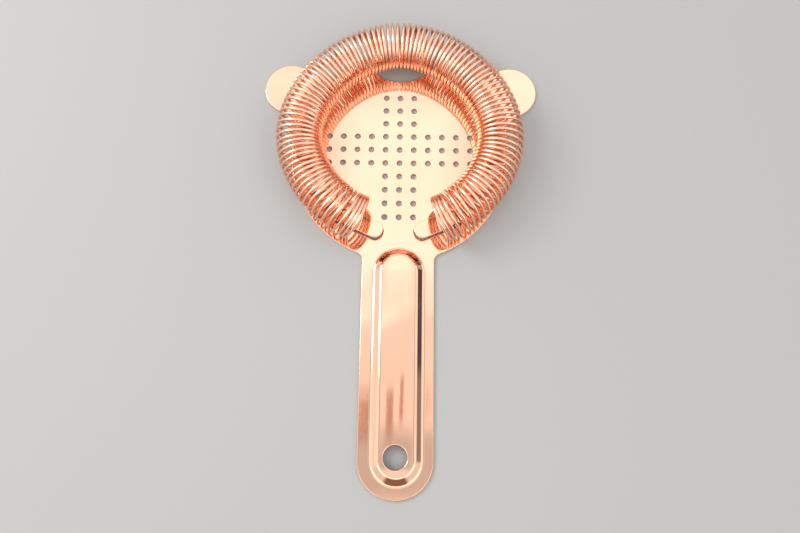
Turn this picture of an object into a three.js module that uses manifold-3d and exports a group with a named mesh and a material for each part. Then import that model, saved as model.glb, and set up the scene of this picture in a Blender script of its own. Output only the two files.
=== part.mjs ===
// Hawthorne bar strainer: a stamped one-piece plate (perforated disc, two ears,
// two lanced spring tongues, embossed handle with a hanging hole) and one long
// coil spring bent round the disc and threaded onto the tongues.
//
// Frame: millimetres. Origin at the centre of the disc on the plate's smooth
// lower face, +Z towards the spring, +Y towards the front (away from the handle),
// +X to the right.

import * as THREE from 'three';
import { mergeVertices } from 'three/addons/utils/BufferGeometryUtils.js';
import Module from 'manifold-3d';

// ---------------------------------------------------------------- dimensions
const SHEET = 1.0;            // sheet thickness
const DISC_R = 38.1;          // 76.2 mm = 3 in disc
const NOTCH_Y = 43.4;         // front notch: centre and radius
const NOTCH_R = 14.4;

const EAR_X = 39.6;           // ear: centre of the rounded end
const EAR_Y = 25.5;
const EAR_R = 9.4;            // end radius = half the ear's width
const EAR_FILLET = 4.0;       // fillet where the ear leaves the disc
const EAR_INSET = 6;          // how far the ear's root runs inside the disc's edge

const HANDLE_HALF = 12.33;    // half width
const HANDLE_TIP_Y = -116.4;
const HANDLE_ROOT_Y = -30;    // start of the handle, inside the disc
const HANDLE_FILLET = 3.0;    // fillet where the handle leaves the disc
const HANG_R = 3.85;          // hanging hole
const HANG_Y = -103.1;

const FILLET_OVERLAP = 0.4;   // how far a fillet's root is sunk into the disc

const RIB_BASE_HALF = 9.4;    // raised handle centre: half width at the plate
const RIB_CROWN_HALF = 4.5;   // half width of the flat crown
const RIB_FRONT_Y = -36.5;
const RIB_BACK_Y = -113.0;
const RIB_RISE = 2.5;         // crown height above the plate
const RIB_SKIRT = 0.6;        // straight wall carried below the plate before trimming
const CROWN_INSET = 0.4;      // hollow: how much narrower its crown is, each side
const SLOPE_INSET = 0.5;      // and how much narrower its sloping side is

const HOLE_R = 1.03;          // drain holes
const HOLE_PITCH = 5.0;
const HOLE_FRONT_Y = 22.5;    // frontmost row
// Holes either side of the middle one, for each row from front to back.
const HOLE_ROWS = [1, 1, 1, 5, 5, 5, 1, 1, 1, 1];

const TONGUE_X = 8.2;         // centre of a tongue's rounded tip
const TONGUE_Y = -27.6;
const TONGUE_ANGLE = THREE.MathUtils.degToRad(23.4);  // tip to root, from +X
const TONGUE_HALF = 2.9;      // half width
const NECK_HALF = 2.0;        // half width where the tongue bends up from the plate
const TONGUE_RISE = 2.65;     // underside of the raised tongue
const TONGUE_ROOT = 11.6;     // distance from tip centre to the riser
const TONGUE_FOOT = 5;        // length carried into the plate past the root
const NECK_START = 1.5;       // distances before the root where the neck narrows
const NECK_END = 0.5;
const RISER_LEAN = 0.2;       // riser's run per unit of its height
const RISER_RUN = 0.7;        // riser's thickness measured along the tongue
const SLOT_HALF = 3.3;        // slot left in the plate round a tongue
const SLOT_PAST_ROOT = 0.9;

const CUT = 1;                // how far cutters reach beyond the sheet

// ------------------------------------------------------------ solid modelling
const wasm = await Module();
wasm.setup();

function weld(geometry) {
  geometry.deleteAttribute('normal');
  geometry.deleteAttribute('uv');
  return mergeVertices(geometry, 1e-4);
}

function toSolid(geometry) {
  const { attributes, index } = weld(geometry);
  return new wasm.Manifold(new wasm.Mesh({
    numProp: 3,
    vertProperties: new Float32Array(attributes.position.array),
    triVerts: new Uint32Array(index.array),
  }));
}

function toGeometry(solid) {
  const mesh = solid.getMesh();
  const geometry = new THREE.BufferGeometry();
  const positions = new Float32Array(mesh.vertProperties);
  geometry.setAttribute('position', new THREE.BufferAttribute(positions, 3));
  geometry.setIndex(new THREE.BufferAttribute(new Uint32Array(mesh.triVerts), 1));
  geometry.computeVertexNormals();
  return geometry;
}

function extrude(shape, z0, z1, curveSegments = 12) {
  const geometry = new THREE.ExtrudeGeometry(shape, {
    depth: z1 - z0, bevelEnabled: false, curveSegments,
  });
  return geometry.translate(0, 0, z0);
}

function slab(...extrusion) {
  return toSolid(extrude(...extrusion));
}

function toVectors(points) {
  return points.map(([x, y]) => new THREE.Vector2(x, y));
}

function polygon(points) {
  const shape = new THREE.Shape(toVectors(points));
  shape.closePath();
  return shape;
}

function circle(y, radius) {
  const shape = new THREE.Shape();
  shape.absarc(0, y, radius, 0, Math.PI * 2, false);
  return shape;
}

// Round-ended bar along Y, from tip to tip.
function stadium(half, frontY, backY) {
  const shape = new THREE.Shape();
  shape.absarc(0, frontY - half, half, 0, Math.PI, false);
  shape.absarc(0, backY + half, half, Math.PI, Math.PI * 2, false);
  shape.closePath();
  return shape;
}

// Direction of a feature on the right (side = 1) or its mirror on the left (-1).
function direction(angle, side) {
  return side > 0 ? angle : Math.PI - angle;
}

// ---------------------------------------------------------- ears and handle
// Round-ended tab pointing out from the centre of the disc, drawn along +X.
function ear(side) {
  const rootX = Math.sqrt(DISC_R ** 2 - EAR_R ** 2) - EAR_INSET;
  const endX = Math.hypot(EAR_X, EAR_Y);
  // The fillet circle is tangent to the tab's side and to the disc.
  const filletY = EAR_R + EAR_FILLET;
  const filletX = Math.sqrt((DISC_R + EAR_FILLET) ** 2 - filletY ** 2);
  const angle = Math.atan2(filletY, filletX);
  const shape = new THREE.Shape();
  shape.moveTo(rootX, -EAR_R);
  shape.lineTo(DISC_R * Math.cos(angle) - FILLET_OVERLAP, -DISC_R * Math.sin(angle));
  shape.absarc(filletX, -filletY, EAR_FILLET, Math.PI - angle, Math.PI / 2, true);
  shape.absarc(endX, 0, EAR_R, -Math.PI / 2, Math.PI / 2, false);
  shape.absarc(filletX, filletY, EAR_FILLET, -Math.PI / 2, -Math.PI + angle, true);
  shape.lineTo(rootX, EAR_R);
  shape.closePath();
  const tab = extrude(shape, 0, SHEET, 14);
  return toSolid(tab.rotateZ(direction(Math.atan2(EAR_Y, EAR_X), side)));
}

function handle() {
  const filletX = HANDLE_HALF + HANDLE_FILLET;
  const filletY = -Math.sqrt((DISC_R + HANDLE_FILLET) ** 2 - filletX ** 2);
  const angle = Math.atan2(filletX, -filletY);
  const endY = HANDLE_TIP_Y + HANDLE_HALF;
  const shape = new THREE.Shape();
  shape.moveTo(HANDLE_HALF, HANDLE_ROOT_Y);
  shape.lineTo(DISC_R * Math.sin(angle), -DISC_R * Math.cos(angle) + FILLET_OVERLAP);
  shape.absarc(filletX, filletY, HANDLE_FILLET, Math.PI / 2 + angle, Math.PI, false);
  shape.lineTo(HANDLE_HALF, endY);
  shape.absarc(0, endY, HANDLE_HALF, 0, -Math.PI, true);
  shape.lineTo(-HANDLE_HALF, filletY);
  shape.absarc(-filletX, filletY, HANDLE_FILLET, 0, Math.PI / 2 - angle, false);
  shape.lineTo(-HANDLE_HALF, HANDLE_ROOT_Y);
  shape.closePath();
  return slab(shape, 0, SHEET, 24);
}

// Raised centre of the handle, with its slope starting at height baseZ.
function ribBody({ crownHalf, slope, baseZ }) {
  const crown = stadium(crownHalf, RIB_FRONT_Y - slope, RIB_BACK_Y + slope);
  const geometry = new THREE.ExtrudeGeometry(crown, {
    depth: baseZ + RIB_SKIRT,
    bevelEnabled: true,
    bevelThickness: RIB_RISE,
    bevelSize: slope,
    bevelSegments: 4,
    curveSegments: 10,
  });
  return toSolid(geometry.translate(0, 0, -RIB_SKIRT));
}

const RIB_SLOPE = RIB_BASE_HALF - RIB_CROWN_HALF;

function ribOuter() {
  const body = ribBody({ crownHalf: RIB_CROWN_HALF, slope: RIB_SLOPE, baseZ: SHEET });
  // Everything under the handle's lower face is trimmed off.
  const below = slab(polygon([[-20, -125], [20, -125], [20, -20], [-20, -20]]), -8, 0);
  return body.subtract(below);
}

// Taken away from the plate, so the rib's underside is hollow.
function ribHollow() {
  return ribBody({
    crownHalf: RIB_CROWN_HALF - CROWN_INSET,
    slope: RIB_SLOPE - SLOPE_INSET,
    baseZ: 0,
  });
}

// ------------------------------------------------------------------- tongues
// Tongues are drawn with the tip's centre at the origin and the root along +X.
function placeTongue(geometry, side) {
  geometry.rotateZ(direction(TONGUE_ANGLE, side));
  geometry.translate(side * TONGUE_X, TONGUE_Y, 0);
  return toSolid(geometry);
}

// Round-tipped plan; edge lists the +Y side's points from the root towards the tip.
function roundTipped(half, edge) {
  const shape = new THREE.Shape(toVectors(edge));
  shape.lineTo(0, half);
  shape.absarc(0, 0, half, Math.PI / 2, Math.PI * 1.5, false);
  for (const [x, y] of [...edge].reverse()) shape.lineTo(x, -y);
  shape.closePath();
  return shape;
}

// A side profile pulled through the tongue's width, trimmed to its plan.
function tongue(side) {
  const top = TONGUE_RISE + SHEET;
  const lean = RISER_LEAN * TONGUE_RISE;
  const footX = TONGUE_ROOT + TONGUE_FOOT;
  const profile = extrude(polygon([
    [-6, TONGUE_RISE],
    [TONGUE_ROOT, TONGUE_RISE],
    [TONGUE_ROOT + lean, 0],
    [footX, 0],
    [footX, SHEET],
    [TONGUE_ROOT + RISER_RUN + lean, SHEET],
    [TONGUE_ROOT + RISER_RUN, top],
    [-6, top],
  ]), -6, 6);
  profile.rotateX(Math.PI / 2);
  const plan = extrude(roundTipped(TONGUE_HALF, [
    [footX, NECK_HALF],
    [TONGUE_ROOT - NECK_END, NECK_HALF],
    [TONGUE_ROOT - NECK_START, TONGUE_HALF],
  ]), -1, 5);
  return placeTongue(profile, side).intersect(placeTongue(plan, side));
}

function tongueSlot(side) {
  const shape = roundTipped(SLOT_HALF, [[TONGUE_ROOT + SLOT_PAST_ROOT, SLOT_HALF]]);
  return placeTongue(extrude(shape, -CUT, SHEET + CUT), side);
}

// ----------------------------------------------------------------- the plate
function drainHole(x, y) {
  const geometry = new THREE.CylinderGeometry(HOLE_R, HOLE_R, SHEET + 2 * CUT, 10);
  geometry.rotateX(Math.PI / 2);
  return toSolid(geometry.translate(x, y, SHEET / 2));
}

function plateGeometry() {
  let plate = slab(circle(0, DISC_R), 0, SHEET, 96)
    .add(ear(1)).add(ear(-1))
    .add(handle())
    .subtract(slab(circle(NOTCH_Y, NOTCH_R), -CUT, SHEET + CUT, 48))
    .add(ribOuter())
    .subtract(ribHollow())
    .subtract(slab(circle(HANG_Y, HANG_R), -CUT, 6, 32))
    .subtract(tongueSlot(1)).subtract(tongueSlot(-1))
    .add(tongue(1)).add(tongue(-1));

  // Drain holes: a cross of three columns and three longer rows.
  HOLE_ROWS.forEach((reach, row) => {
    for (let i = -reach; i <= reach; i++) {
      plate = plate.subtract(drainHole(i * HOLE_PITCH, HOLE_FRONT_Y - row * HOLE_PITCH));
    }
  });
  return toGeometry(plate);
}

// ---------------------------------------------------------------- the spring
const WIRE = 0.95;            // square wire's side, about the area of round wire 1.08 across
const COIL_R = 7.55;          // coil axis to centre of wire
const COIL_Z = 9.33;          // height of the coil's axis above the lower face
const COIL_DIP = 0.75;        // axis drop where the coil sits in the tongue slots
const DIP_BLEND = 2.2;        // length over which the axis drops
const TURNS = 106;
const TURN_SEGMENTS = 9;      // straight segments per turn

// The turns are spread apart where each tongue's riser comes up between them.
const RISER_S = 6.8;          // distance of the riser from the coil's end, along the axis
const SPREAD_REACH = 1.3;     // distance either side of the riser that is spread
const SPREAD = 2.5;           // extra pitch at the riser, as a multiple of the plain pitch

// Axis of the spring ring in plan [x, y]: right half, from the front to the right end.
const AXIS_RIGHT = [
  [0.0, 38.5], [6.1, 37.9], [11.94, 36.1], [17.31, 33.27], [22.11, 29.65],
  [26.29, 25.39], [29.79, 20.56], [32.47, 15.22], [34.16, 9.48], [34.68, 3.53],
  [33.94, -2.37], [32.0, -7.93], [29.1, -13.0], [25.5, -17.4], [21.4, -20.9],
  [17.3, -23.6], [13.2, -25.5],
];

// The whole axis runs from the right end, round the front, to the left end.
const axisPoints = [
  ...[...AXIS_RIGHT].reverse(),
  ...AXIS_RIGHT.slice(1).map(([x, y]) => [-x, y]),
].map(([x, y]) => new THREE.Vector3(x, y, 0));
const axis = new THREE.CatmullRomCurve3(axisPoints, false, 'centripetal');
axis.arcLengthDivisions = 2000;
const AXIS_LENGTH = axis.getLength();

function distanceToEnd(fraction) {
  const distance = fraction * AXIS_LENGTH;
  return Math.min(distance, AXIS_LENGTH - distance);
}

// Winding built up along the axis, in equal steps; it slows where turns are spread.
const WINDING_STEPS = 6000;
const winding = [0];
for (let i = 1; i <= WINDING_STEPS; i++) {
  const fromRiser = Math.abs(distanceToEnd((i - 0.5) / WINDING_STEPS) - RISER_S);
  const weight = fromRiser < SPREAD_REACH
    ? 0.5 * (1 + Math.cos(Math.PI * fromRiser / SPREAD_REACH))
    : 0;
  winding.push(winding[i - 1] + 1 / (1 + SPREAD * weight));
}

// Fraction of the axis's length at a fraction t of the turns, by bisection.
function axisFraction(t) {
  const wanted = t * winding[WINDING_STEPS];
  let low = 0;
  let high = WINDING_STEPS;
  while (high - low > 1) {
    const middle = (low + high) >> 1;
    if (winding[middle] <= wanted) low = middle;
    else high = middle;
  }
  const part = (wanted - winding[low]) / (winding[high] - winding[low]);
  return (low + part) / WINDING_STEPS;
}

// Centre of the wire, and its direction from the coil's axis, at a fraction t of the turns.
function wireAt(t) {
  const fraction = axisFraction(t);
  const centre = axis.getPointAt(fraction);
  const tangent = axis.getTangentAt(fraction);
  const raised = THREE.MathUtils.smoothstep(
    distanceToEnd(fraction), RISER_S - DIP_BLEND / 2, RISER_S + DIP_BLEND / 2,
  );
  centre.z = COIL_Z - COIL_DIP * (1 - raised);
  // The wire starts at the bottom of the coil.
  const angle = t * TURNS * Math.PI * 2 - Math.PI / 2;
  const radial = new THREE.Vector3(tangent.y, -tangent.x, 0).multiplyScalar(Math.cos(angle));
  radial.z = Math.sin(angle);
  return { radial, point: centre.addScaledVector(radial, COIL_R) };
}

class CoilWire extends THREE.Curve {
  getPoint(t) {
    return wireAt(t).point;
  }

  // Spaced evenly by turn, not by length.
  getSpacedPoints(count) {
    return this.getPoints(count);
  }

  // Frames that keep the wire's section square to the coil.
  computeFrenetFrames(count) {
    const tangents = [];
    const normals = [];
    const binormals = [];
    for (let i = 0; i <= count; i++) {
      const before = this.getPoint(Math.max(0, (i - 0.5) / count));
      const after = this.getPoint(Math.min(1, (i + 0.5) / count));
      const tangent = after.sub(before).normalize();
      const { radial } = wireAt(i / count);
      const normal = radial.addScaledVector(tangent, -radial.dot(tangent)).normalize();
      tangents.push(tangent);
      normals.push(normal);
      binormals.push(new THREE.Vector3().crossVectors(tangent, normal));
    }
    return { tangents, normals, binormals };
  }
}

function springGeometry() {
  const half = WIRE / 2;
  const section = polygon([[-half, -half], [half, -half], [half, half], [-half, half]]);
  const geometry = weld(new THREE.ExtrudeGeometry(section, {
    steps: TURNS * TURN_SEGMENTS, bevelEnabled: false, extrudePath: new CoilWire(),
  }));
  geometry.computeVertexNormals();
  return geometry;
}

// ------------------------------------------------------------------ assembly
const strainer = new THREE.Group();

function addPart(name, geometry, { color, roughness }) {
  const material = new THREE.MeshStandardMaterial({ color, roughness, metalness: 1.0 });
  const mesh = new THREE.Mesh(geometry, material);
  mesh.name = name;
  strainer.add(mesh);
}

addPart('strainer_plate', plateGeometry(), { color: 0xf3b79c, roughness: 0.12 });
addPart('coil_spring', springGeometry(), { color: 0xeaa489, roughness: 0.16 });

export default strainer;
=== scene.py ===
"""Bar strainer: a pressed sheet plate with a coil spring around its disc.

The plate lies flat with its underside at z = 0 and the disc centred on the origin. The notch in
the disc faces +Y, the two ears point to +X and -X and the handle runs towards -Y. The spring
follows the rim, open towards the handle, and two bent-up tongues reach between its end turns.
Shapes are worked out in millimetres and scaled to metres when a mesh is made.
"""

import math

import bpy
import numpy as np
from mathutils import Matrix, Vector
from mathutils.geometry import delaunay_2d_cdt


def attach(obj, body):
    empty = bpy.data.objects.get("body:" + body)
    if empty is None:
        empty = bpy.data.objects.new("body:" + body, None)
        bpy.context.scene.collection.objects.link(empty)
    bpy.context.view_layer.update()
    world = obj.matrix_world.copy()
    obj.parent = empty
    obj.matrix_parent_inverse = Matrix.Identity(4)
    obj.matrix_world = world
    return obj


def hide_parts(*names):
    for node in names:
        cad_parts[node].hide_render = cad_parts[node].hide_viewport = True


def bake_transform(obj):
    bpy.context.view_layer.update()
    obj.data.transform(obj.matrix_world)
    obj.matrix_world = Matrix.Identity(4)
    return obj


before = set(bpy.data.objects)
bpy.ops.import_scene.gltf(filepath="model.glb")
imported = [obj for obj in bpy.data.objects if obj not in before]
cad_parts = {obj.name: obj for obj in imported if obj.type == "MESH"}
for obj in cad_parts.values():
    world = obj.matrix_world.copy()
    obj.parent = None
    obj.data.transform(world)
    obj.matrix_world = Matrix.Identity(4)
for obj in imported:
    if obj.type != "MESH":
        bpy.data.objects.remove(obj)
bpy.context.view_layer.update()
MM = 0.001

# ---------------------------------------------------------- plate dimensions, mm
SHEET = 1.0
DISC_R = 38.1
NOTCH_Y, NOTCH_R = 43.4, 14.4
EAR_X, EAR_Y, EAR_R, EAR_FILLET = 39.6, 25.5, 9.4, 4.0
HANDLE_HALF, HANDLE_TIP_Y, HANDLE_FILLET = 12.33, -116.4, 3.0
HANG_X, HANG_Y, HANG_R = 0.0, -103.1, 3.85         # large hole near the handle tip

HOLE_R, HOLE_PITCH, HOLE_TOP_Y, HOLE_ROWS = 1.03, 5.0, 22.5, 10
LONG_ROWS, LONG_REACH, SHORT_REACH = (3, 4, 5), 5, 1    # reach: holes on either side of x = 0

# radius of the rounded edge, and the steps in each quarter round
RIM_EDGE, HOLE_EDGE, HANG_EDGE, SLOT_EDGE = 0.26, 0.12, 0.42, 0.16
EDGE_STEPS = 4

# raised centre of the handle: half widths at foot and crown, rise, ends along y
RIB_X = 0.3
RIB_BASE, RIB_CROWN, RIB_RISE = 9.1, 5.3, 2.2
RIB_Y0, RIB_Y1 = -33.2, -112.7
RIB_CENTRE_Y0, RIB_CENTRE_Y1 = RIB_Y0 - RIB_BASE, RIB_Y1 + RIB_BASE   # centres of its round ends
RIB_WALL_ANGLE = math.radians(43)
RIB_DOME = 0.09                                    # extra height in the middle of the crown

# tongues, measured outwards from the centre of their round tip
TONGUE_X, TONGUE_Y, TONGUE_ANGLE = 8.2, -27.6, math.radians(23.4)
TONGUE_HALF, TONGUE_NECK, SLOT_HALF = 2.85, 2.0, 2.96   # half widths
SHOULDER_START, SHOULDER_END = 9.9, 10.9           # the tongue narrows to its neck between these
TONGUE_ROOT = 13.1                                 # the tongue bends up, going inwards from here
TONGUE_RISE, TONGUE_BEND_R, TONGUE_BEND = 2.65, 0.6, math.radians(80)
TONGUE_MARGIN = 0.03                               # slack when picking the tongue's vertices

# --------------------------------------------------------- spring dimensions, mm
COIL_R, WIRE_R, WIRE_CAP = 7.55, 0.54, 0.12        # WIRE_CAP rounds the cut ends
COIL_Z, COIL_DIP = 9.1, 0.5                        # the ends beyond the tongues sit lower
TURNS, TURN_STEPS, WIRE_SIDES = 105, 40, 12
END_PITCH = 1.12                                   # the last turns are wound closed
ROOT_DISTANCE, ROOT_PITCH = 6.55, 2.15 + 0.25      # the turns part here for a tongue
SHORT_RIGHT, SHORT_LEFT = 0.95, 0.55               # each end stops short of the end of AXIS
LEAN, LEAN_LENGTH = math.radians(20), 14.0         # the end turns lean towards the ends
# (share of the length, pitch), from the right end to the left end
PITCHES = [(0, 1.84), (0.32, 1.84), (0.43, 1.68), (0.57, 1.66), (0.68, 1.78), (1, 1.78)]
# (size in turns, rate, phase) of the waves in the spacing
WANDER = [(0.06, 0.83, 1.1), (0.055, 2.17, 0.4), (0.05, 0.31, 0.0)]
# right half of the spring's axis: (x, y)
AXIS = [
    (0.0, 38.5), (6.1, 37.9), (11.94, 36.1), (17.31, 33.27), (22.11, 29.65),
    (26.29, 25.39), (29.79, 20.56), (32.47, 15.22), (34.16, 9.48), (34.68, 3.53),
    (33.76, -2.31), (31.78, -7.81), (28.88, -12.84), (25.32, -17.2), (21.3, -20.8),
    (17.25, -23.6), (13.2, -25.5),
]


# ---------------------------------------------------------------- flat outlines
def arc(centre_x, centre_y, radius, start, end, step):
    count = max(2, int(math.ceil(abs(end - start) * radius / step)))
    angle = np.linspace(start, end, count + 1)
    return np.stack([centre_x + radius * np.cos(angle), centre_y + radius * np.sin(angle)], 1)


def circle(centre_x, centre_y, radius, step):
    return arc(centre_x, centre_y, radius, 0, 2 * math.pi, step)[:-1]


def line(start, end, step=0.8):
    count = max(1, int(math.ceil(math.dist(start, end) / step)))
    share = np.linspace(0, 1, count + 1)[:, None]
    return np.array(start) * (1 - share) + np.array(end) * share


def chain(parts):
    """Joins runs of points, dropping those that coincide."""
    points = np.vstack(parts)
    keep = [0]
    for i in range(1, len(points)):
        if np.linalg.norm(points[i] - points[keep[-1]]) > 1e-3:
            keep.append(i)
    return points[keep]


def is_ccw(loop):
    x, y = loop[:, 0], loop[:, 1]
    return 0.5 * np.sum(x * np.roll(y, -1) - y * np.roll(x, -1)) > 0


def loop_normals(loop):
    """Unit normals pointing out of the loop, whichever way it runs."""
    along = np.roll(loop, -1, 0) - np.roll(loop, 1, 0)
    along /= np.linalg.norm(along, axis=1)[:, None]
    normals = np.stack([along[:, 1], -along[:, 0]], 1)
    return normals if is_ccw(loop) else -normals


def rounded(loop, corners, reach, passes):
    """Softens the sharp corners of a loop."""
    distance = np.min([np.linalg.norm(loop - np.array(c), axis=1) for c in corners], axis=0)
    weight = np.clip(1 - distance / reach, 0, 1)[:, None]
    for _ in range(passes):
        middle = 0.5 * (np.roll(loop, 1, 0) + np.roll(loop, -1, 0))
        loop = loop + 0.5 * weight * (middle - loop)
    return loop


def plate_outline():
    # corner where the notch meets the disc
    corner_y = (DISC_R ** 2 - NOTCH_R ** 2 + NOTCH_Y ** 2) / (2 * NOTCH_Y)
    corner_x = math.sqrt(DISC_R ** 2 - corner_y ** 2)
    corner_angle = math.atan2(corner_y, corner_x)
    # the ear is drawn along +X, then turned
    ear_angle, ear_length = math.atan2(EAR_Y, EAR_X), math.hypot(EAR_X, EAR_Y)
    ear_cos, ear_sin = math.cos(ear_angle), math.sin(ear_angle)
    fillet_y = EAR_R + EAR_FILLET
    fillet_x = math.sqrt((DISC_R + EAR_FILLET) ** 2 - fillet_y ** 2)
    fillet_angle = math.atan2(fillet_y, fillet_x)

    def ear(points):
        x, y = points[:, 0], points[:, 1]
        return np.stack([x * ear_cos - y * ear_sin, x * ear_sin + y * ear_cos], 1)

    neck_x = HANDLE_HALF + HANDLE_FILLET
    neck_y = -math.sqrt((DISC_R + HANDLE_FILLET) ** 2 - neck_x ** 2)
    neck_angle = math.atan2(neck_y, neck_x)
    tip_y = HANDLE_TIP_Y + HANDLE_HALF
    notch_end = math.atan2(corner_y - NOTCH_Y, corner_x)
    right = chain([
        arc(0, NOTCH_Y, NOTCH_R, -math.pi / 2, notch_end, 0.3),
        arc(0, 0, DISC_R, corner_angle, ear_angle + fillet_angle, 0.4),
        ear(arc(fillet_x, fillet_y, EAR_FILLET, math.pi + fillet_angle, 1.5 * math.pi, 0.3)),
        ear(line((fillet_x, EAR_R), (ear_length, EAR_R))),
        ear(arc(ear_length, 0, EAR_R, math.pi / 2, -math.pi / 2, 0.4)),
        ear(line((ear_length, -EAR_R), (fillet_x, -EAR_R))),
        ear(arc(fillet_x, -fillet_y, EAR_FILLET, math.pi / 2, math.pi - fillet_angle, 0.3)),
        arc(0, 0, DISC_R, ear_angle - fillet_angle, neck_angle, 0.4),
        arc(neck_x, neck_y, HANDLE_FILLET, math.pi + neck_angle, math.pi, 0.3),
        line((HANDLE_HALF, neck_y), (HANDLE_HALF, tip_y)),
        arc(0, tip_y, HANDLE_HALF, 0, -math.pi / 2, 0.4),
    ])
    left = right[1:-1][::-1] * np.array([-1, 1])
    corners = [(corner_x, corner_y), (-corner_x, corner_y)]
    return rounded(np.vstack([right, left]), corners, reach=1.6, passes=14)


def tongue_frame(side):
    """Tip centre, outward and sideways directions of the tongue on +X (1) or -X (-1)."""
    outward = np.array([side * math.cos(TONGUE_ANGLE), math.sin(TONGUE_ANGLE)])
    across = np.array([-outward[1], outward[0]])
    return np.array([side * TONGUE_X, TONGUE_Y]), outward, across


def slot_outline(side):
    """Slot that runs around a tongue, leaving it attached at its outer end."""
    tip, outward, across = tongue_frame(side)
    end, wide, half, neck = TONGUE_ROOT + 0.15, SLOT_HALF, TONGUE_HALF, TONGUE_NECK
    start, stop = SHOULDER_START, SHOULDER_END
    end_y, end_r = (wide + neck) / 2, (wide - neck) / 2
    loop = chain([
        line((end, wide), (0, wide), 0.5),
        arc(0, 0, wide, math.pi / 2, 1.5 * math.pi, 0.3),
        line((0, -wide), (end, -wide), 0.5),
        arc(end, -end_y, end_r, -math.pi / 2, math.pi / 2, 0.2),
        line((end, -neck), (stop, -neck), 0.4),
        line((stop, -neck), (start, -half), 0.3),
        line((start, -half), (0, -half), 0.5),
        arc(0, 0, half, -math.pi / 2, -1.5 * math.pi, 0.3),
        line((0, half), (start, half), 0.5),
        line((start, half), (stop, neck), 0.3),
        line((stop, neck), (end, neck), 0.4),
        arc(end, end_y, end_r, -math.pi / 2, math.pi / 2, 0.2),
    ])[:-1]
    corners = [(stop, neck), (start, half), (stop, -neck), (start, -half)]
    loop = rounded(loop, corners, reach=0.8, passes=6)
    return tip + loop[:, :1] * outward + loop[:, 1:] * across


# ------------------------------------------------------------- pressed profiles
def s_bend(radius, angle, straight, samples):
    """Advance, rise and slope along two equal, opposite arcs joined by a straight."""
    bend = radius * angle
    total = 2 * bend + straight
    run = np.linspace(0, total, samples)
    slope = np.where(run < bend, run / radius,
                     np.where(run < bend + straight, angle, (total - run) / radius))
    step = np.diff(run, prepend=0)
    return np.cumsum(np.cos(slope) * step), np.cumsum(np.sin(slope) * step), slope


def tongue_profile():
    curved_rise = 2 * TONGUE_BEND_R * (1 - math.cos(TONGUE_BEND))
    straight = (TONGUE_RISE - curved_rise) / math.sin(TONGUE_BEND)
    return s_bend(TONGUE_BEND_R, TONGUE_BEND, straight, samples=400)


def rib_profile():
    """Wall of the raised handle centre: distance in from the foot, and height."""
    width = RIB_BASE - RIB_CROWN
    cos, sin = math.cos(RIB_WALL_ANGLE), math.sin(RIB_WALL_ANGLE)
    # the arcs and the straight together make up the width and the rise
    radius = (width * sin - RIB_RISE * cos) / (2 * sin * sin - 2 * cos * (1 - cos))
    straight = (width - 2 * radius * sin) / cos
    inward, height, _ = s_bend(radius, RIB_WALL_ANGLE, straight, samples=240)
    return inward * width / inward[-1], height * RIB_RISE / height[-1]


BEND_ADVANCE, BEND_RISE, BEND_SLOPE = tongue_profile()
BEND_LENGTH = float(BEND_ADVANCE[-1])
RIB_INWARD, RIB_HEIGHT = rib_profile()


def rib_height(x, y):
    """Height of the raised handle centre above the sheet."""
    distance = np.hypot(x - RIB_X, y - np.clip(y, RIB_CENTRE_Y1, RIB_CENTRE_Y0))
    height = np.interp(RIB_BASE - distance, RIB_INWARD, RIB_HEIGHT)
    return height + RIB_DOME * (1 - np.clip(distance / RIB_CROWN, 0, 1) ** 2)


def make_object(name, verts, faces, normals=None):
    """Smooth-shaded object from vertices in mm."""
    mesh = bpy.data.meshes.new(name)
    mesh.from_pydata([tuple(v) for v in verts * MM], [], faces)
    mesh.update()
    mesh.polygons.foreach_set("use_smooth", [True] * len(mesh.polygons))
    if normals is not None:
        mesh.normals_split_custom_set_from_vertices([tuple(n) for n in normals])
    obj = bpy.data.objects.new(name, mesh)
    bpy.context.scene.collection.objects.link(obj)
    return obj


# ------------------------------------------------------------------- the plate
def plate_loops():
    """(outline, edge radius, is a hole) of every edge of the plate."""
    loops = [(plate_outline(), RIM_EDGE, False)]
    for row in range(HOLE_ROWS):
        reach = LONG_REACH if row in LONG_ROWS else SHORT_REACH
        y = HOLE_TOP_Y - row * HOLE_PITCH
        for i in range(-reach, reach + 1):
            loops.append((circle(i * HOLE_PITCH, y, HOLE_R, 0.22), HOLE_EDGE, True))
    loops.append((circle(HANG_X, HANG_Y, HANG_R, 0.35), HANG_EDGE, True))
    loops.append((slot_outline(1), SLOT_EDGE, True))
    loops.append((slot_outline(-1), SLOT_EDGE, True))
    return loops


def edge_rings(loop, edge_r, hole):
    """Vertex rows (x, y, z, normal x, y, z, edge weight) of the rings from top to bottom."""
    outward = loop_normals(loop)
    if hole:
        outward = -outward            # out of the material
    count = len(loop)
    steps = range(EDGE_STEPS + 1)
    rings = []
    for face, step in [(1, i) for i in steps] + [(-1, i) for i in reversed(steps)]:
        angle = 0.5 * math.pi * step / EDGE_STEPS
        cos, sin = math.cos(angle), math.sin(angle)
        inset = edge_r * (1 - cos)
        z = SHEET - inset if face > 0 else inset
        rings.append(np.column_stack([
            loop - outward * edge_r * (1 - sin), np.full(count, z),
            outward * sin, np.full(count, face * cos), np.full(count, sin),
        ]))
    return rings


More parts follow.
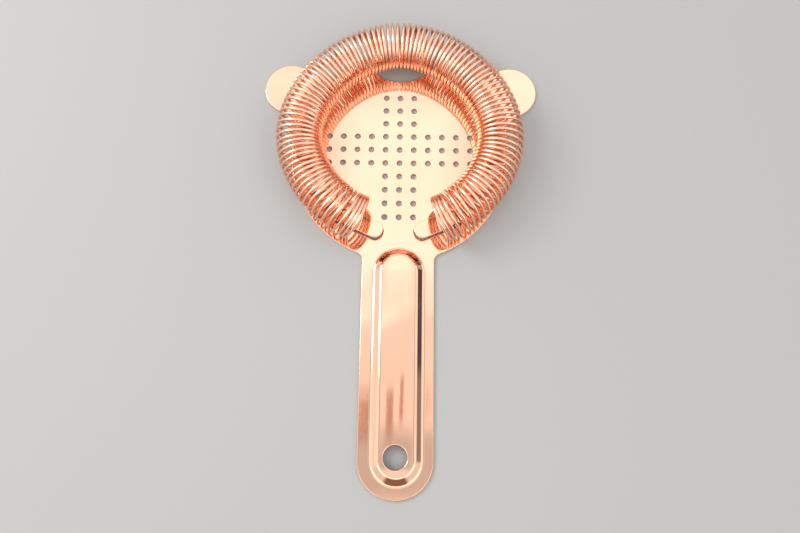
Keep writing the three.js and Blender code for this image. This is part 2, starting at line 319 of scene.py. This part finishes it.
def rib_points():
    """Points inside the sheet that carry the raised handle centre."""
    radii = [9.4] + list(np.arange(RIB_BASE, 5.0, -0.19)) + [4.7, 3.8, 2.8, 1.8, 0.9]
    stations = np.linspace(RIB_CENTRE_Y0, RIB_CENTRE_Y1, 76)
    points = []
    for radius in radii:
        for angle in np.linspace(0, math.pi, 58):
            x = RIB_X + radius * math.cos(angle)
            points.append((x, RIB_CENTRE_Y0 + radius * math.sin(angle)))
            points.append((x, RIB_CENTRE_Y1 - radius * math.sin(angle)))
        for y in stations[1:-1]:
            points += [(RIB_X + radius, y), (RIB_X - radius, y)]
    points += [(RIB_X, y) for y in stations]
    clear = HANG_R + 0.55
    return [p for p in points if math.hypot(p[0] - HANG_X, p[1] - HANG_Y) > clear]


def tongue_points():
    """Points inside the sheet that carry the bent tongues."""
    bend = np.linspace(TONGUE_ROOT + 0.1, TONGUE_ROOT - BEND_LENGTH - 0.1, 30)
    points = []
    for side in (1, -1):
        tip, outward, across = tongue_frame(side)
        for distance in list(np.arange(-2.4, 10.4, 0.6)) + list(bend):
            count = 7
            if distance > 9.7:
                half, count = TONGUE_NECK - 0.35, 6
            elif distance >= 0:
                half = TONGUE_HALF - 0.35
            else:
                half = math.sqrt((TONGUE_HALF - 0.3) ** 2 - distance * distance)
            for offset in np.linspace(-half, half, count):
                points.append(tuple(tip + distance * outward + offset * across))
    return points


def inside(loop, points):
    """Which of the points lie inside a loop."""
    hit = np.zeros(len(points), bool)
    near = np.where(((points > loop.min(0)) & (points < loop.max(0))).all(1))[0]
    x, y = loop[:, 0][None, :], loop[:, 1][None, :]
    next_x, next_y = np.roll(loop[:, 0], -1)[None, :], np.roll(loop[:, 1], -1)[None, :]
    # in batches, to bound the size of the tables
    for part in np.array_split(near, max(1, len(near) // 500)):
        at_x, at_y = points[part, 0][:, None], points[part, 1][:, None]
        with np.errstate(divide="ignore", invalid="ignore"):
            cross_x = (next_x - x) * (at_y - y) / (next_y - y) + x
            crossed = ((y > at_y) != (next_y > at_y)) & (at_x < cross_x)
        hit[part] = crossed.sum(1) % 2 == 1
    return hit


def sheet_triangles(points, edges, loops):
    """Counter-clockwise triangles inside the first loop and outside all the others."""
    _, _, cells, sources, _, _ = delaunay_2d_cdt([Vector(p) for p in points], edges, [], 0, 1e-6)
    source = [found[0] if found else -1 for found in sources]
    tri = np.array([[source[i] for i in cell] for cell in cells])
    if tri.min() < 0:
        raise RuntimeError("the plate outline crosses itself")
    flat = np.array(points, float)
    middle = flat[tri].mean(1)
    keep = inside(loops[0], middle)
    for loop in loops[1:]:
        keep &= ~inside(loop, middle)
    first, second, third = (flat[tri[:, i]] for i in range(3))
    to_second, to_third = second - first, third - first
    turned = to_second[:, 0] * to_third[:, 1] - to_second[:, 1] * to_third[:, 0] < 0
    tri[turned] = tri[turned][:, ::-1]
    return tri[keep]


def press_rib(verts, normals):
    x, y = verts[:, 0], verts[:, 1]
    delta = 1e-3
    slope_x = (rib_height(x + delta, y) - rib_height(x - delta, y)) / (2 * delta)
    slope_y = (rib_height(x, y + delta) - rib_height(x, y - delta)) / (2 * delta)
    verts[:, 2] += rib_height(x, y)
    normals[:, 0] -= slope_x * normals[:, 2]
    normals[:, 1] -= slope_y * normals[:, 2]


def bend_tongue(verts, normals, side):
    tip, outward, across = tongue_frame(side)
    offset = verts[:, :2] - tip
    along, aside = offset @ outward, offset @ across
    reach = TONGUE_HALF + TONGUE_MARGIN
    on_tongue = ((np.abs(aside) < reach) & (along < TONGUE_ROOT)
                 & ((along > 0) | (np.hypot(along, aside) < reach)))
    advance = np.clip(TONGUE_ROOT - along, 0, BEND_LENGTH)
    slope = np.interp(advance, BEND_ADVANCE, BEND_SLOPE)
    rise = np.interp(advance, BEND_ADVANCE, BEND_RISE)
    cos, sin = np.cos(slope), np.sin(slope)
    depth = verts[:, 2] - 0.5 * SHEET             # from the middle of the sheet
    bent_z = 0.5 * SHEET + rise + depth * cos
    bent = tip + (along + depth * sin)[:, None] * outward + aside[:, None] * across
    verts[on_tongue, :2] = bent[on_tongue]
    verts[on_tongue, 2] = bent_z[on_tongue]

    normal_out, normal_across = normals[:, :2] @ outward, normals[:, :2] @ across
    turned_out = normal_out * cos + normals[:, 2] * sin
    turned_z = -normal_out * sin + normals[:, 2] * cos
    turned = turned_out[:, None] * outward + normal_across[:, None] * across
    normals[on_tongue, :2] = turned[on_tongue]
    normals[on_tongue, 2] = turned_z[on_tongue]


def build_plate():
    rows, faces = [], []
    flat_points, flat_edges, inner_loops = [], [], []
    top, bottom = [], []              # vertex above and below each flat point
    for loop, edge_r, hole in plate_loops():
        rings = edge_rings(loop, edge_r, hole)
        count = len(loop)
        starts = [len(rows) + k * count for k in range(len(rings))]
        for ring in rings:
            rows += ring.tolist()
        flip = is_ccw(loop) == hole
        for upper, lower in zip(starts[:-1], starts[1:]):
            for i in range(count):
                j = (i + 1) % count
                face = (upper + i, lower + i, lower + j, upper + j)
                faces.append(face[::-1] if flip else face)
        base = len(flat_points)
        inner = rings[0][:, :2]
        inner_loops.append(inner)
        flat_points += inner.tolist()
        flat_edges += [(base + i, base + (i + 1) % count) for i in range(count)]
        top += range(starts[0], starts[0] + count)
        bottom += range(starts[-1], starts[-1] + count)

    for x, y in rib_points() + tongue_points():
        flat_points.append((float(x), float(y)))
        top.append(len(rows))
        bottom.append(len(rows) + 1)
        rows.append([x, y, SHEET, 0.0, 0.0, 1.0, 0.0])
        rows.append([x, y, 0.0, 0.0, 0.0, -1.0, 0.0])

    tri = sheet_triangles(flat_points, flat_edges, inner_loops)
    faces += [tuple(f) for f in np.array(top)[tri].tolist()]
    faces += [tuple(f) for f in np.array(bottom)[tri[:, ::-1]].tolist()]

    table = np.array(rows, float)
    verts, normals, edge = table[:, :3].copy(), table[:, 3:6].copy(), table[:, 6]
    press_rib(verts, normals)
    for side in (1, -1):
        bend_tongue(verts, normals, side)
    normals /= np.linalg.norm(normals, axis=1)[:, None]
    obj = make_object("strainer_plate_visual", verts, faces, normals)
    attribute = obj.data.attributes.new("edge", "FLOAT", "POINT")
    attribute.data.foreach_set("value", edge.astype(np.float32))
    return obj


# ------------------------------------------------------------------ the spring
def resample(stations, values, at):
    """Linear interpolation of every column of values."""
    return np.stack([np.interp(at, stations, column) for column in values.T], 1)


def run_length(points):
    return np.r_[0, np.cumsum(np.linalg.norm(np.diff(points, axis=0), axis=1))]


def spline(points, count):
    """Natural cubic spline sampled evenly along its length, and that length."""
    points = np.array(points, float)
    knots = run_length(points)
    size = len(knots)
    gaps = np.diff(knots)
    matrix = np.zeros((size, size))
    matrix[0, 0] = matrix[-1, -1] = 1
    target = np.zeros((size, points.shape[1]))
    for i in range(1, size - 1):
        matrix[i, i - 1:i + 2] = gaps[i - 1], 2 * (gaps[i - 1] + gaps[i]), gaps[i]
        target[i] = 6 * ((points[i + 1] - points[i]) / gaps[i]
                         - (points[i] - points[i - 1]) / gaps[i - 1])
    bend = np.linalg.solve(matrix, target)
    at = np.linspace(0, knots[-1], 6001)
    k = np.clip(np.searchsorted(knots, at, "right") - 1, 0, size - 2)
    after, before, gap = (knots[k + 1] - at)[:, None], (at - knots[k])[:, None], gaps[k][:, None]
    curve = ((bend[k] * after ** 3 + bend[k + 1] * before ** 3) / (6 * gap)
             + (points[k] / gap - bend[k] * gap / 6) * after
             + (points[k + 1] / gap - bend[k + 1] * gap / 6) * before)
    run = run_length(curve)
    return resample(run, curve, np.linspace(0, run[-1], count)), run[-1]


def smooth01(x):
    x = np.clip(x, 0, 1)
    return x * x * (3 - 2 * x)


def coil_path():
    """Centre line of the wire, and the direction from the coil's axis to each of its points."""
    samples = 8001
    # from the right (+X) end around to the left end
    axis, full = spline(AXIS[::-1] + [(-x, y) for x, y in AXIS[1:]], samples)
    cut = np.linspace(SHORT_RIGHT, full - SHORT_LEFT, samples)
    axis = resample(np.linspace(0, full, samples), axis, cut)
    length = full - SHORT_RIGHT - SHORT_LEFT
    stations = np.linspace(0, length, samples)

    def root(at):
        """Distance of the tongue from the nearer end."""
        return ROOT_DISTANCE - np.where(at < length / 2, SHORT_RIGHT, SHORT_LEFT)

    # spacing of the turns: a little closer mid-length, closed at both ends,
    # and parted where a tongue comes up between two of them
    middle = 0.5 * (stations[1:] + stations[:-1])
    from_end = np.minimum(middle, length - middle)
    pitch = np.interp(middle / length, *zip(*PITCHES))
    pitch = END_PITCH + (pitch - END_PITCH) * smooth01((from_end - 2.4) / 2.6)
    parting = np.exp(-((from_end - root(middle)) / 0.9) ** 2)
    pitch = pitch + (ROOT_PITCH - pitch) * parting
    phase = np.r_[0, np.cumsum(1 / pitch)]
    turn = np.linspace(0, TURNS, TURNS * TURN_STEPS + 1)
    # the spacing wanders a little, as it does on a spring that has been worked
    wander = sum(size * np.sin(turn * rate + shift) for size, rate, shift in WANDER)
    wander *= smooth01((turn - 5) / 8) * smooth01((TURNS - 5 - turn) / 8)
    at = np.interp((turn + wander) / TURNS * phase[-1], phase, stations)

    tangent = resample(stations, axis, at + 0.05) - resample(stations, axis, at - 0.05)
    tangent /= np.linalg.norm(tangent, axis=1)[:, None]
    from_end = np.minimum(at, length - at)
    z = COIL_Z - COIL_DIP * smooth01((root(at) + 0.9 - from_end) / 1.8)
    zeros = np.zeros(len(at))
    centre = np.c_[resample(stations, axis, at), z]
    side = np.c_[tangent[:, 1], -tangent[:, 0], zeros]
    towards_end = np.where(at < length / 2, -1.0, 1.0)[:, None]
    tangent = np.c_[tangent, zeros]
    lean = LEAN * smooth01(1 - from_end / LEAN_LENGTH)
    up = (np.cos(lean)[:, None] * np.array([0, 0, 1.0])
          + np.sin(lean)[:, None] * towards_end * tangent)
    angle = turn * 2 * math.pi - math.pi / 2
    radial = np.cos(angle)[:, None] * side + np.sin(angle)[:, None] * up
    path = centre + COIL_R * radial

    # the lower halves of the last turns are pushed apart where a tongue bends up between them:
    # the outermost towards the end, the following ones away from it
    end_turn = np.minimum(turn, TURNS - turn)
    outer = end_turn < 3.5
    right = turn < TURNS / 2
    low = smooth01(-np.sin(angle))
    fading = np.exp(-np.maximum(end_turn - 4, 0) / 3)
    push = np.where(outer, np.where(right, -0.9, -0.55), np.where(right, 0.45, 0.95) * fading)
    path -= (low * push)[:, None] * towards_end * tangent
    path[:, 2] += low * np.where(outer, 0, 0.4 * np.exp(-((end_turn - 4) / 0.6) ** 2))
    return path, radial


def build_spring():
    path, radial = coil_path()
    count, sides = len(path), WIRE_SIDES
    tangent = np.gradient(path, axis=0)
    tangent /= np.linalg.norm(tangent, axis=1)[:, None]
    radial = radial - (radial * tangent).sum(1)[:, None] * tangent
    radial /= np.linalg.norm(radial, axis=1)[:, None]
    binormal = np.cross(tangent, radial)

    # rings along the wire, with three more beyond each end for its rounding
    cap = np.radians([24, 48, 72])
    ahead, shrink = WIRE_CAP * np.sin(cap), WIRE_CAP * (1 - np.cos(cap))
    index = np.r_[[0] * 3, np.arange(count), [count - 1] * 3]
    offset = np.r_[-ahead[::-1], np.zeros(count), ahead]
    radius = WIRE_R - np.r_[shrink[::-1], np.zeros(count), shrink]
    centre = path[index] + offset[:, None] * tangent[index]
    angle = 2 * math.pi * np.arange(sides) / sides
    spokes = (np.cos(angle)[None, :, None] * radial[index][:, None, :]
              + np.sin(angle)[None, :, None] * binormal[index][:, None, :])
    verts = (centre[:, None, :] + radius[:, None, None] * spokes).reshape(-1, 3)
    last_ring = (len(index) - 1) * sides
    pairs = [(j, (j + 1) % sides) for j in range(sides)]
    faces = []
    for ring in range(0, last_ring, sides):
        faces += [(ring + j, ring + k, ring + sides + k, ring + sides + j) for j, k in pairs]
    first, last = len(verts), len(verts) + 1
    verts = np.vstack([verts, path[0] - WIRE_CAP * tangent[0], path[-1] + WIRE_CAP * tangent[-1]])
    for j, k in pairs:
        faces.append((first, k, j))
        faces.append((last, last_ring + j, last_ring + k))
    return make_object("coil_spring_visual", verts, faces)


# ---------------------------------------------------------------- shader nodes
class Nodes:
    """Node tree of a material or world. Values may be numbers or sockets."""

    def __init__(self, owner, output="OutputMaterial", shader="BsdfPrincipled", coord="Object"):
        owner.use_nodes = True
        self.tree = owner.node_tree
        self.tree.nodes.clear()
        end = self.add(output)
        self.shader = self.add(shader)
        self.tree.links.new(self.shader.outputs[0], end.inputs[0])
        self.coord = self.add("TexCoord").outputs[coord]

    def fill(self, node, inputs):
        for key, value in inputs.items():
            if isinstance(value, bpy.types.NodeSocket):
                self.tree.links.new(value, node.inputs[key])
            else:
                node.inputs[key].default_value = value

    def add(self, kind, inputs=None, **settings):
        node = self.tree.nodes.new("ShaderNode" + kind)
        for key, value in settings.items():
            setattr(node, key, value)
        self.fill(node, inputs or {})
        return node

    def noise(self, scale, detail=2.0, roughness=0.5, stretch=None):
        """Noise in object space; scale is per metre."""
        coord = self.coord
        if stretch:
            coord = self.add("Mapping", {"Scale": stretch, "Vector": coord}).outputs[0]
        return self.add("TexNoise", {"Scale": scale, "Detail": detail, "Roughness": roughness,
                                     "Vector": coord}).outputs["Fac"]

    def remap(self, value, source, target=(0, 1), interpolation="LINEAR"):
        return self.add("MapRange", {
            "From Min": source[0], "From Max": source[1],
            "To Min": target[0], "To Max": target[1], "Value": value,
        }, interpolation_type=interpolation).outputs["Result"]

    def math(self, operation, result, *others):
        """Applies the operation to the values one after the other."""
        for value in others:
            result = self.add("Math", {0: result, 1: value}, operation=operation).outputs[0]
        return result

    def mix(self, fac, *colors):
        first, second = ((*c, 1) if isinstance(c, tuple) else c for c in colors)
        return self.add("Mix", {0: fac, 6: first, 7: second}, data_type="RGBA").outputs[2]

    def bump(self, height, distance, below=None):
        inputs = {"Strength": 1.0, "Distance": distance, "Height": height}
        if below is not None:
            inputs["Normal"] = below
        return self.add("Bump", inputs).outputs["Normal"]


def plate_material():
    material = bpy.data.materials.new("rose_gold_plate")
    nodes = Nodes(material)
    edge = nodes.add("Attribute", attribute_name="edge").outputs["Fac"]
    tone = nodes.remap(nodes.noise(scale=45, detail=3), source=(0.35, 0.65))
    color = nodes.mix(tone, (0.955, 0.585, 0.425), (0.950, 0.565, 0.400))
    stain = nodes.remap(nodes.noise(scale=160, detail=6, roughness=0.65),
                        source=(0.60, 0.78), target=(0, 0.35))
    color = nodes.mix(stain, color, (0.91, 0.51, 0.35))
    wear = nodes.remap(nodes.noise(scale=900, detail=4, roughness=0.7),
                       source=(0.42, 0.62), target=(0, 0.55))
    worn = nodes.math("MULTIPLY", edge, wear)     # only along the rounded edges
    color = nodes.mix(worn, color, (0.94, 0.70, 0.56))
    smudge = nodes.remap(nodes.noise(scale=70, detail=5, roughness=0.6),
                         source=(0.45, 0.75), target=(0.035, 0.10))
    fine = nodes.remap(nodes.noise(scale=2600), source=(0.4, 0.7), target=(0.0, 0.025))
    roughness = nodes.math("ADD", smudge, fine, nodes.math("MULTIPLY", worn, 0.18))
    # broad waves, then polishing marks and hairlines drawn out along y
    normal = nodes.bump(nodes.noise(scale=28, detail=1, roughness=0.4), distance=0.00010)
    polish = nodes.noise(scale=420, stretch=(1.0, 0.12, 1.0))
    normal = nodes.bump(polish, distance=0.0000035, below=normal)
    hairlines = nodes.noise(scale=3800, detail=1, stretch=(1.0, 0.03, 1.0))
    normal = nodes.bump(hairlines, distance=0.0000004, below=normal)
    nodes.fill(nodes.shader, {"Metallic": 1.0, "Base Color": color, "Roughness": roughness,
                              "Normal": normal})
    return material


def wire_material():
    material = bpy.data.materials.new("rose_gold_wire")
    nodes = Nodes(material)
    tone = nodes.remap(nodes.noise(scale=120, detail=4, roughness=0.6), source=(0.35, 0.65))
    color = nodes.mix(tone, (0.965, 0.605, 0.445), (0.945, 0.565, 0.405))
    spots = nodes.remap(nodes.noise(scale=1400, detail=3, roughness=0.6),
                        source=(0.62, 0.75), target=(0, 0.4))
    color = nodes.mix(spots, color, (0.87, 0.45, 0.30))
    smudge = nodes.remap(nodes.noise(scale=300, detail=4, roughness=0.6),
                         source=(0.4, 0.7), target=(0.17, 0.25))
    fine = nodes.remap(nodes.noise(scale=5200), source=(0.45, 0.7), target=(0, 0.04))
    normal = nodes.bump(nodes.noise(scale=700), distance=0.000012)
    normal = nodes.bump(nodes.noise(scale=4200), distance=0.0000022, below=normal)
    nodes.fill(nodes.shader, {"Metallic": 1.0, "Base Color": color,
                              "Roughness": nodes.math("ADD", smudge, fine), "Normal": normal})
    return material


def floor_material():
    material = bpy.data.materials.new("pale_floor")
    nodes = Nodes(material)
    color = nodes.mix(nodes.noise(scale=3), (0.39, 0.39, 0.39), (0.42, 0.42, 0.415))
    nodes.fill(nodes.shader, {"Base Color": color, "Roughness": 0.65})
    return material


# ----------------------------------------------------------------------- stage
def build_world():
    """Studio that the metal mirrors, painted by direction."""
    world = bpy.data.worlds.new("studio")
    bpy.context.scene.world = world
    nodes = Nodes(world, output="OutputWorld", shader="Background", coord="Generated")

    def times(*factors):
        return nodes.math("MULTIPLY", *factors)

    def plus(*terms):
        return nodes.math("ADD", *terms)

    def rest(value):
        return nodes.math("SUBTRACT", 1.0, value)

    def fade(value, start, end, level=1.0):
        """Smooth change from 0 at start to level at end."""
        return nodes.remap(value, (start, end), (0, level), interpolation="SMOOTHSTEP")

    def window(value, span, soft, level=1.0):
        """Level within the span, fading over soft on either side of its limits."""
        low, high = span
        return times(fade(value, low - soft, low + soft),
                     fade(value, high + soft, high - soft, level))

    def dimmed(value, mask, share):
        return times(value, rest(times(mask, share)))

    ray_x, ray_y, ray_z = nodes.add("SeparateXYZ", {0: nodes.coord}).outputs
    # where the ray meets a ceiling one unit up
    height = nodes.math("MAXIMUM", ray_z, 0.02)
    x, y = nodes.math("DIVIDE", ray_x, height), nodes.math("DIVIDE", ray_y, height)
    # degrees: azimuth is 0 at +Y and positive towards +X
    azimuth = times(nodes.math("ARCTAN2", ray_x, ray_y), 180 / math.pi)
    elevation = times(nodes.math("ARCSINE", ray_z, 0.0), 180 / math.pi)
    away = nodes.math("ABSOLUTE", azimuth, 0.0)

    # pale walls all around
    front = window(azimuth, (-42, 97), soft=4)
    near = plus(times(front, fade(elevation, 0, 14)),
                times(rest(front), fade(elevation, -7, 1)))
    walls = times(near, fade(elevation, 67, 58, level=0.44))
    left_wall = times(window(azimuth, (-112, -52), soft=12),
                      window(elevation, (0, 62), soft=5, level=0.22))
    right_wall = times(window(azimuth, (45, 112), soft=12),
                       window(elevation, (14, 62), soft=5, level=0.16))
    # soft panels towards -Y
    behind = times(fade(away, 102, 114), window(elevation, (22, 60), soft=7, level=0.75))
    # bright panels towards +Y and above
    slant = nodes.math("SUBTRACT", y, times(x, 0.12))
    ahead = times(window(x, (-0.085, 0.085), soft=0.035),
                  window(y, (0.22, 0.49), soft=0.035, level=0.48))
    wide = times(window(x, (-0.34, 0.34), soft=0.08), fade(slant, 0.160, 0.186),
                 fade(y, 0.66, 0.52, level=0.52))
    ears = times(window(x, (0.13, 0.30), soft=0.03),
                 window(y, (0.40, 0.62), soft=0.04, level=0.16))
    ceiling = times(window(x, (-0.30, 0.30), soft=0.05), fade(y, 0.23, 0.15),
                    fade(y, -0.42, -0.30), fade(ray_z, 0.5, 0.8, level=0.47))
    ambient = 0.46
    level = plus(ambient, fade(elevation, 2, 22, level=0.16), walls, left_wall, right_wall,
                 behind, ahead, wide, ears, ceiling)
    # joins between wall and ceiling on both sides, and the skirting of the right wall
    joins = times(window(away, (55, 125), soft=10), window(elevation, (67, 80), soft=3))
    level = dimmed(level, joins, share=0.30)
    skirting = times(window(azimuth, (42, 96), soft=6), fade(elevation, 12, 7))
    level = dimmed(level, skirting, share=plus(0.38, fade(azimuth, 85.5, 83.5, level=0.42)))
    # the camera and its stand
    camera = times(window(x, (-0.10, 0.10), soft=0.03), window(y, (-0.07, 0.018), soft=0.016))
    level = dimmed(level, camera, share=0.36)
    legs = plus(
        times(window(x, (-0.056, -0.018), soft=0.006), window(y, (0.010, 0.070), soft=0.012)),
        times(window(x, (0.018, 0.036), soft=0.005), window(y, (0.030, 0.090), soft=0.010)))
    level = dimmed(level, legs, share=0.38)
    # low reddish shade towards -Y
    shade = times(fade(away, 146, 158), fade(elevation, 42, 34))
    level = dimmed(level, shade, share=0.70)
    # seen directly, the studio is one plain pale backdrop
    seen = nodes.add("LightPath").outputs["Is Camera Ray"]
    level = plus(times(level, rest(seen)), times(seen, 0.80))
    tint = nodes.mix(shade, (1.0, 0.99, 0.975), (1.0, 0.62, 0.50))
    tint = nodes.mix(legs, tint, (1.0, 0.66, 0.58))
    tint = nodes.mix(seen, tint, (1.0, 0.99, 0.98))
    nodes.fill(nodes.shader, {"Strength": level, "Color": tint})


def build_key_light():
    """Square softbox up on the left, aimed at the origin."""
    location = Vector((-0.62, 0.20, 0.55))
    light = bpy.data.lights.new("key", "AREA")
    light.shape = "RECTANGLE"
    light.size = light.size_y = 0.35
    light.energy = 3.0
    obj = bpy.data.objects.new("key", light)
    obj.location = location
    obj.rotation_mode = "QUATERNION"
    obj.rotation_quaternion = (-location).to_track_quat("-Z", "Y")
    bpy.context.scene.collection.objects.link(obj)


def build_camera():
    """Camera above the handle, looking down and towards +Y."""
    data = bpy.data.cameras.new("camera")
    data.sensor_width = 36
    data.lens = 32.52
    data.clip_start, data.clip_end = 0.01, 20
    obj = bpy.data.objects.new("camera", data)
    bpy.context.scene.collection.objects.link(obj)
    obj.matrix_world = Matrix((
        (0.999877, 0.014345, 0.006415, 0),        # right
        (-0.015462, 0.970904, 0.238969, 0),       # up
        (-0.002800, -0.239039, 0.971006, 0),      # backwards
        (0.000004, -0.098943, 0.240122, 1),       # location
    )).transposed()
    bpy.context.scene.camera = obj


# -------------------------------------------------------------------- assembly
plate = build_plate()
plate.data.materials.append(plate_material())
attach(plate, "plate")
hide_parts("strainer_plate")

spring = build_spring()
spring.data.materials.append(wire_material())
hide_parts("coil_spring")
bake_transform(spring)

bpy.ops.mesh.primitive_plane_add(size=6, location=(0, 0, 0))
floor = bpy.context.object
floor.name = "floor"
floor.data.materials.append(floor_material())

build_world()
build_key_light()
build_camera()

view = bpy.context.scene.view_settings
view.view_transform = "Standard"
view.look = "None"
view.exposure = 0.0
